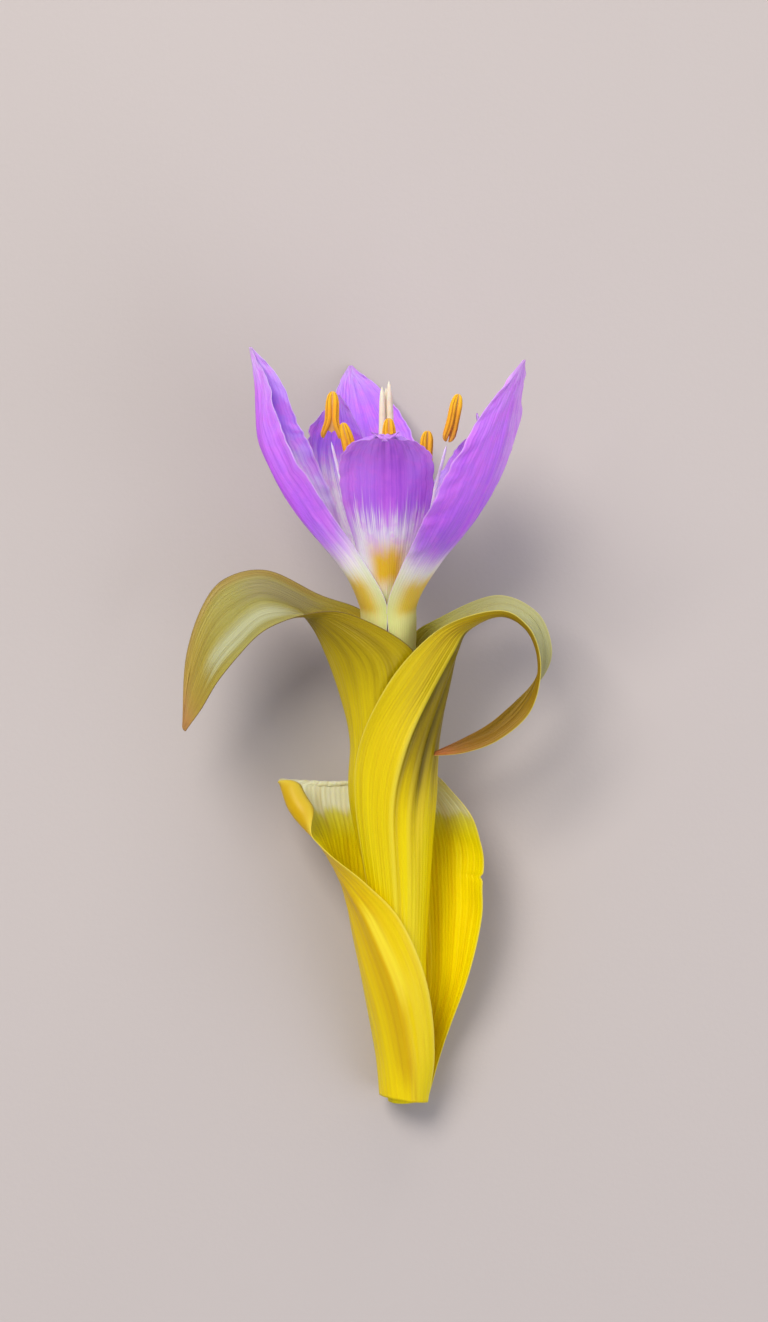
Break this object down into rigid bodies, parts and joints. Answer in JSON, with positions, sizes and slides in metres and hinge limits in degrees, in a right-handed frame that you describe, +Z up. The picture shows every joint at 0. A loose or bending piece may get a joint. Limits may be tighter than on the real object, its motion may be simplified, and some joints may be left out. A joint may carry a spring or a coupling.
{
  "type": "autumn crocus plant",
  "caption": "Small autumn crocus in flower, cut at the ground and lying down, with violet pointed tepals, orange anthers and yellow-green sheathing leaves that curl.",
  "frame": {"origin": "middle of the bottom of the bounding box, on the surface that the plant lies on", "axes": "+Y from the cut end towards the flower, +Z up from the surface, +X to the right of the plant as it is looked down on"},
  "size_m": [0.0462, 0.0948, 0.0436],
  "materials": {
    "leaf": "satin",
    "tepal": "satin",
    "filament": "satin",
    "anther": "matte",
    "style": "satin"
  },
  "bodies": {
    "root": {"leaf_outer_sheathing": "leaf", "leaf_right_curled": "leaf", "leaf_left_arching": "leaf", "tepal_outer_left": "tepal", "tepal_outer_right": "tepal", "tepal_outer_back": "tepal", "tepal_inner_front": "tepal", "tepal_inner_back_left": "tepal", "tepal_inner_back_right": "tepal", "filament_front": "filament", "filament_front_right": "filament", "filament_right": "filament", "filament_back": "filament", "filament_left": "filament", "filament_front_left": "filament", "anther_front": "anther", "anther_front_right": "anther", "anther_right": "anther", "anther_back": "anther", "anther_left": "anther", "anther_front_left": "anther", "style_left": "style", "style_right": "style", "style_back": "style"}
  },
  "joints": []
}
